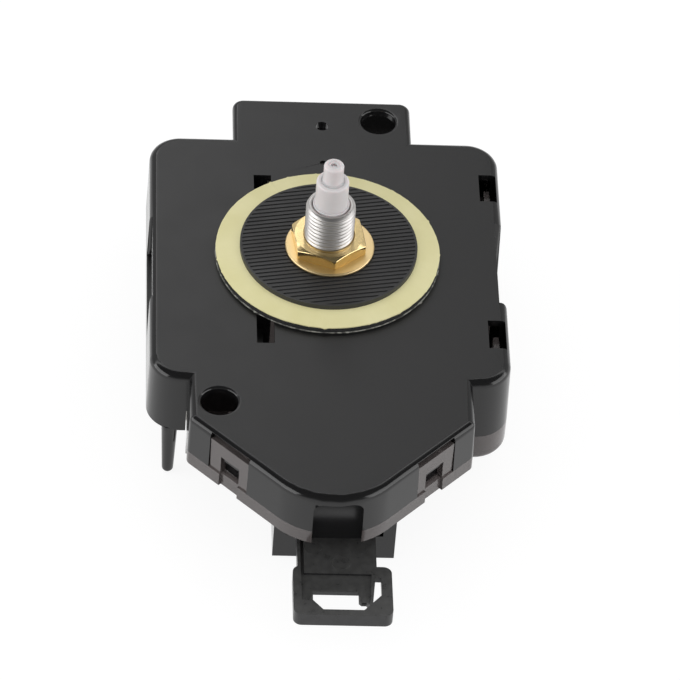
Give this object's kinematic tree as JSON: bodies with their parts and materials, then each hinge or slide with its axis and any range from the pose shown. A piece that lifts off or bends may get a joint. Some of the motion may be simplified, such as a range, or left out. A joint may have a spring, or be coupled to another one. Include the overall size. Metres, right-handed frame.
{
  "type": "pendulum clock movement",
  "caption": "Pendulum clock movement: black case with hanging tab, threaded bush with nut and washers, nylon hand shafts, and a swinging pendulum hanger below.",
  "frame": {"origin": "on the shaft axis, at the dial side of the case (the face that lies against the clock dial)", "axes": "+Z out of the dial side along the hand shafts, +Y from the shaft towards the hanging tab (12 o'clock), +X towards 3 o'clock seen from the dial side"},
  "size_m": [0.057, 0.1029, 0.0416],
  "materials": {
    "black_plastic": "black moulded ABS: fine matt grain on the faces, glossy at the edges and walls",
    "smoke_plastic": "smoke-brown translucent styrene, glossy",
    "hanger_plastic": "black moulded acetal, satin",
    "white_plastic": "white moulded plastic, satin",
    "nylon": "natural translucent nylon, satin",
    "gear_plastic": "natural acetal, satin",
    "bobbin_plastic": "cream moulded plastic, satin",
    "nickel": "bright nickel plate",
    "brass": "bright brass with a pale gold lacquer",
    "steel": "ground steel",
    "iron_sheet": "rolled soft-iron sheet, dull",
    "magnet": "sintered ferrite, dull grey",
    "copper_wire": "enamelled copper winding",
    "contact_strip": "nickel-plated spring strip",
    "foam": "black foam, matt",
    "release_paper": "pale yellow waxed paper, satin",
    "rubber": "black rubber, ridged, satin",
    "board": "green laminate with solder mask",
    "potting": "black epoxy, glossy"
  },
  "bodies": {
    "case": {"front_case": "black_plastic", "back_cover": "smoke_plastic", "middle_plate": "white_plastic", "dial_bush": "nickel", "foam_pad": "foam", "pad_liner": "release_paper", "rubber_washer": "rubber", "brass_washer": "brass", "hex_nut": "brass", "stator": "iron_sheet", "coil_core": "iron_sheet", "coil_bobbin": "bobbin_plastic", "drive_coil": "copper_wire", "circuit_board": "board", "chip_cover": "potting", "quartz_crystal": "nickel", "contact_positive": "contact_strip", "contact_negative": "contact_strip", "pendulum_housing": "black_plastic", "pivot_pin": "steel", "sensing_bobbin": "bobbin_plastic", "sensing_coil": "copper_wire", "pendulum_board": "board"},
    "minute_drive": {"minute_shaft": "nylon"},
    "hour_drive": {"hour_wheel": "nylon"},
    "motion_drive": {"motion_wheel": "gear_plastic"},
    "setting_drive": {"setting_arbor": "gear_plastic", "setting_knob": "black_plastic"},
    "second_drive": {"second_wheel": "gear_plastic", "second_arbor": "steel"},
    "centre_drive": {"centre_wheel": "gear_plastic"},
    "third_drive": {"third_wheel": "gear_plastic"},
    "intermediate_drive": {"intermediate_wheel": "gear_plastic"},
    "rotor_drive": {"rotor_pinion": "gear_plastic", "rotor_magnet": "magnet"},
    "pendulum": {"pendulum_arm": "hanger_plastic", "drive_magnet": "magnet"}
  },
  "joints": [
    {"name": "minute_spin", "type": "hinge", "parent": "case", "child": "minute_drive", "pos_m": [0, 0, 0], "axis": [0, 0, 1], "continuous": true},
    {"name": "hour_spin", "type": "hinge", "parent": "case", "child": "hour_drive", "pos_m": [0, 0, 0], "axis": [0, 0, 1], "continuous": true},
    {"name": "motion_spin", "type": "hinge", "parent": "case", "child": "motion_drive", "pos_m": [0.00186, -0.00696, 0], "axis": [0, 0, 1], "continuous": true},
    {"name": "setting_spin", "type": "hinge", "parent": "case", "child": "setting_drive", "pos_m": [0.00546, -0.01319, 0], "axis": [0, 0, 1], "continuous": true},
    {"name": "second_spin", "type": "hinge", "parent": "case", "child": "second_drive", "pos_m": [0, 0, 0], "axis": [0, 0, 1], "continuous": true},
    {"name": "centre_spin", "type": "hinge", "parent": "case", "child": "centre_drive", "pos_m": [0, 0, 0], "axis": [0, 0, 1], "continuous": true},
    {"name": "third_spin", "type": "hinge", "parent": "case", "child": "third_drive", "pos_m": [0.0042, 0.00728, 0], "axis": [0, 0, 1], "continuous": true},
    {"name": "intermediate_spin", "type": "hinge", "parent": "case", "child": "intermediate_drive", "pos_m": [0.00811, -0.00217, 0], "axis": [0, 0, 1], "continuous": true},
    {"name": "rotor_spin", "type": "hinge", "parent": "case", "child": "rotor_drive", "pos_m": [0.01148, -0.005, 0], "axis": [0, 0, 1], "continuous": true},
    {"name": "pendulum_swing", "type": "hinge", "parent": "case", "child": "pendulum", "pos_m": [0.0009, -0.033, -0.0145], "axis": [0, 0, 1], "range_deg": [-5, 5]}
  ],
  "couplings": [
    {"joint": "hour_spin", "follows": "minute_spin", "ratio": 0.083333},
    {"joint": "motion_spin", "follows": "minute_spin", "ratio": -0.33333},
    {"joint": "setting_spin", "follows": "minute_spin", "ratio": 1},
    {"joint": "intermediate_spin", "follows": "second_spin", "ratio": -7.5},
    {"joint": "rotor_spin", "follows": "second_spin", "ratio": 30},
    {"joint": "third_spin", "follows": "second_spin", "ratio": -0.13333},
    {"joint": "centre_spin", "follows": "second_spin", "ratio": 0.016667}
  ]
}
